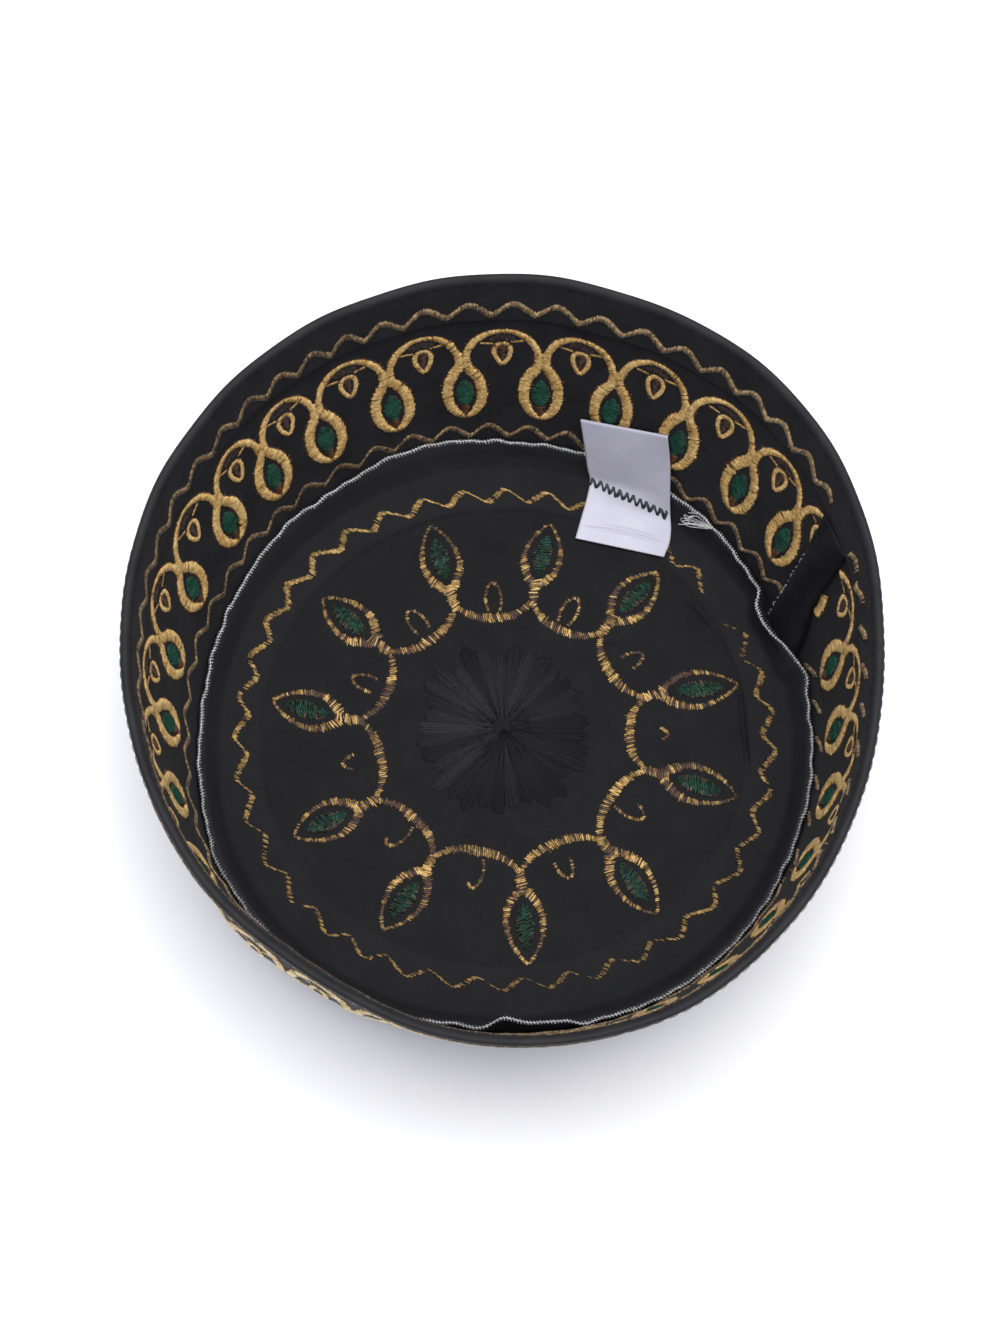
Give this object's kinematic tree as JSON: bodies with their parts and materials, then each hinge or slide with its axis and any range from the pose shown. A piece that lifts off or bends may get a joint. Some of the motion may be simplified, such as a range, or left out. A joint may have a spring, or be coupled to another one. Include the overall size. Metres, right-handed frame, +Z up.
{
  "type": "kufi",
  "caption": "Brimless round cap of embroidered black satin, lying upside down on its crown with the head opening upward.",
  "frame": {"origin": "on the surface that the crown rests on, under the middle of the oval head opening", "axes": "+Z up out of the head opening; +Y along the opening's longer diameter, towards the side that carries the label; +X towards the closing seam"},
  "size_m": [0.177, 0.1915, 0.0627],
  "materials": {
    "crown": "interfaced black satin with a soft sheen",
    "side_band": "stiffened black satin covered with machine embroidery in gold and green",
    "rim_hem": "plain black satin, turned in and top stitched",
    "crown_seam_allowance": "black satin with its raw edge overlocked in white thread",
    "back_seam_allowance": "folded black satin, worn matt",
    "label": "blank white satin ribbon"
  },
  "bodies": {
    "root": {"crown": "crown", "side_band": "side_band", "rim_hem": "rim_hem", "crown_seam_allowance": "crown_seam_allowance", "back_seam_allowance": "back_seam_allowance", "label": "label"}
  },
  "joints": []
}
